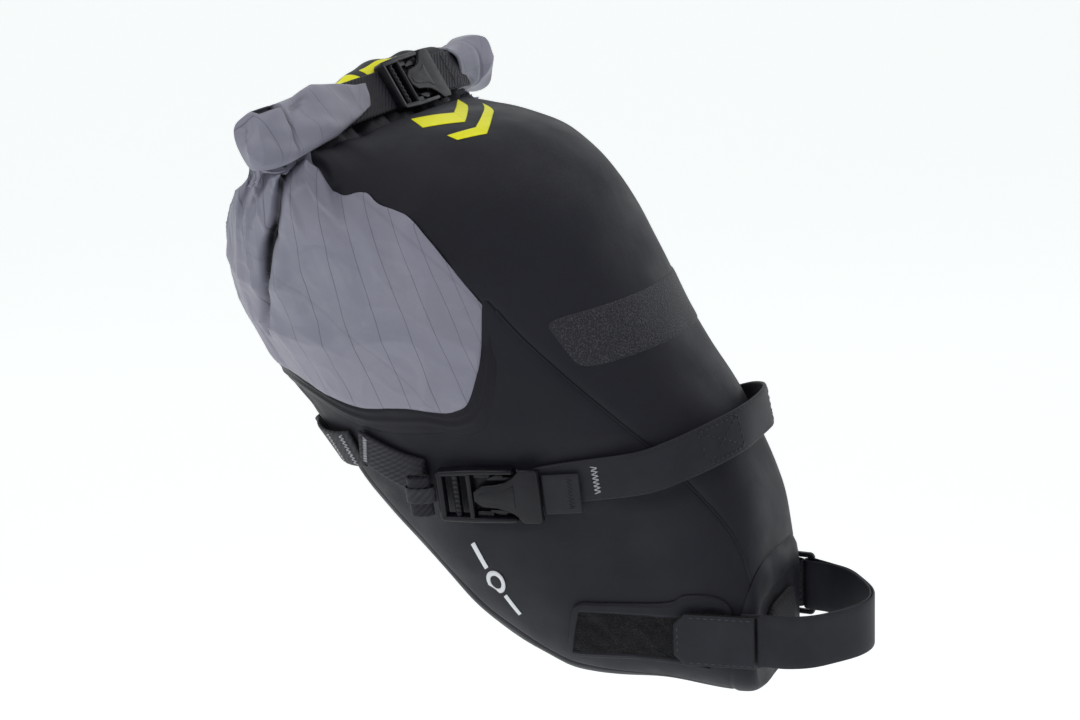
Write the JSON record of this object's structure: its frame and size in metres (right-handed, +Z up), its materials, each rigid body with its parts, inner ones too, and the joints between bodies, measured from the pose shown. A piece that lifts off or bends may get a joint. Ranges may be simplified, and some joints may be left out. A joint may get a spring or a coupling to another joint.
{
  "type": "saddle bag",
  "caption": "Roll-top saddle bag with rail strap, side-release buckles, seatpost strap and printed chevrons; stuffed wedge shape.",
  "frame": {"origin": "on the seatpost's axis, at the middle height of the seatpost strap", "axes": "+Z up the seatpost, +X forwards in riding direction, +Y to the left of the bike; the bag lies towards -X and +Z"},
  "size_m": [0.3064, 0.225, 0.2911],
  "materials": {
    "black_fabric": "matte coated laminate",
    "grey_fabric": "satin laminate with diagonal reinforcing threads",
    "liner": "smooth coated",
    "webbing": "ribbed woven webbing",
    "strap_laminate": "matte rubberised strap",
    "buckle_plastic": "moulded satin",
    "rubber": "grippy",
    "hook_tape": "hook-and-loop pile",
    "textured_patch": "raised dot texture"
  },
  "bodies": {
    "root": {"waterproof_liner": "liner", "top_panel": "black_fabric", "side_panel_right": "black_fabric", "side_panel_left": "black_fabric", "base_panel": "black_fabric", "rear_panel": "grey_fabric", "weld_band": "black_fabric", "top_patch": "textured_patch", "nose_boot": "black_fabric", "friction_pad": "rubber", "hook_patch": "hook_tape", "post_strap": "strap_laminate", "strap_ring": "buckle_plastic", "ring_tab": "webbing", "rail_strap_span": "strap_laminate", "rail_strap_right": "webbing", "rail_strap_left": "webbing", "anchor_webbing_right": "webbing", "anchor_webbing_left": "webbing", "light_loop": "webbing", "right_buckle_shell": "buckle_plastic", "left_buckle_shell": "buckle_plastic", "right_webbing_bundle": "webbing", "left_webbing_bundle": "webbing", "rolled_closure": "black_fabric", "roll_flap_right": "grey_fabric", "roll_flap_left": "grey_fabric", "roll_webbing_right": "webbing", "roll_webbing_left": "webbing", "roll_buckle_shell": "buckle_plastic"},
    "right_clip": {"right_clip_plate": "buckle_plastic", "right_clip_loop": "webbing"},
    "right_prong_a": {"right_clip_prong_a": "buckle_plastic"},
    "right_prong_b": {"right_clip_prong_b": "buckle_plastic"},
    "left_clip": {"left_clip_plate": "buckle_plastic", "left_clip_loop": "webbing"},
    "left_prong_a": {"left_clip_prong_a": "buckle_plastic"},
    "left_prong_b": {"left_clip_prong_b": "buckle_plastic"},
    "roll_clip": {"roll_clip_plate": "buckle_plastic", "roll_clip_loop": "webbing"},
    "roll_prong_a": {"roll_clip_prong_a": "buckle_plastic"},
    "roll_prong_b": {"roll_clip_prong_b": "buckle_plastic"},
    "strap_tip": {"strap_tip_lining": "hook_tape", "strap_tip_face": "strap_laminate"}
  },
  "joints": [
    {"name": "right_clip_slide", "type": "slide", "parent": "root", "child": "right_clip", "axis": [0.9884, 0.1449, 0.0463], "range_m": [0, 0.014]},
    {"name": "right_prong_a_squeeze", "type": "hinge", "parent": "right_clip", "child": "right_prong_a", "pos_m": [-0.11916, -0.06866, 0.07741], "axis": [0.1495, -0.9814, -0.1205], "range_deg": [0, 6], "stiffness_Nm_per_rad": 0.05},
    {"name": "right_prong_b_squeeze", "type": "hinge", "parent": "right_clip", "child": "right_prong_b", "pos_m": [-0.11872, -0.06669, 0.06194], "axis": [-0.1495, 0.9814, 0.1205], "range_deg": [0, 6], "stiffness_Nm_per_rad": 0.05},
    {"name": "left_clip_slide", "type": "slide", "parent": "root", "child": "left_clip", "axis": [0.9884, -0.1449, 0.0463], "range_m": [0, 0.014]},
    {"name": "left_prong_a_squeeze", "type": "hinge", "parent": "left_clip", "child": "left_prong_a", "pos_m": [-0.11916, 0.06866, 0.07741], "axis": [-0.1495, -0.9814, 0.1205], "range_deg": [0, 6], "stiffness_Nm_per_rad": 0.05},
    {"name": "left_prong_b_squeeze", "type": "hinge", "parent": "left_clip", "child": "left_prong_b", "pos_m": [-0.11872, 0.06669, 0.06194], "axis": [0.1495, 0.9814, -0.1205], "range_deg": [0, 6], "stiffness_Nm_per_rad": 0.05},
    {"name": "roll_clip_slide", "type": "slide", "parent": "root", "child": "roll_clip", "axis": [0, 1, 0], "range_m": [0, 0.014]},
    {"name": "roll_prong_a_squeeze", "type": "hinge", "parent": "roll_clip", "child": "roll_prong_a", "pos_m": [-0.20978, 0.0328, 0.24876], "axis": [0.866, 0, 0.5], "range_deg": [0, 6], "stiffness_Nm_per_rad": 0.05},
    {"name": "roll_prong_b_squeeze", "type": "hinge", "parent": "roll_clip", "child": "roll_prong_b", "pos_m": [-0.20198, 0.0328, 0.23525], "axis": [-0.866, 0, -0.5], "range_deg": [0, 6], "stiffness_Nm_per_rad": 0.05},
    {"name": "strap_tip_peel", "type": "hinge", "parent": "root", "child": "strap_tip", "pos_m": [-0.017, -0.0419, 0], "axis": [0, 0, 1], "range_deg": [0, 70]}
  ]
}
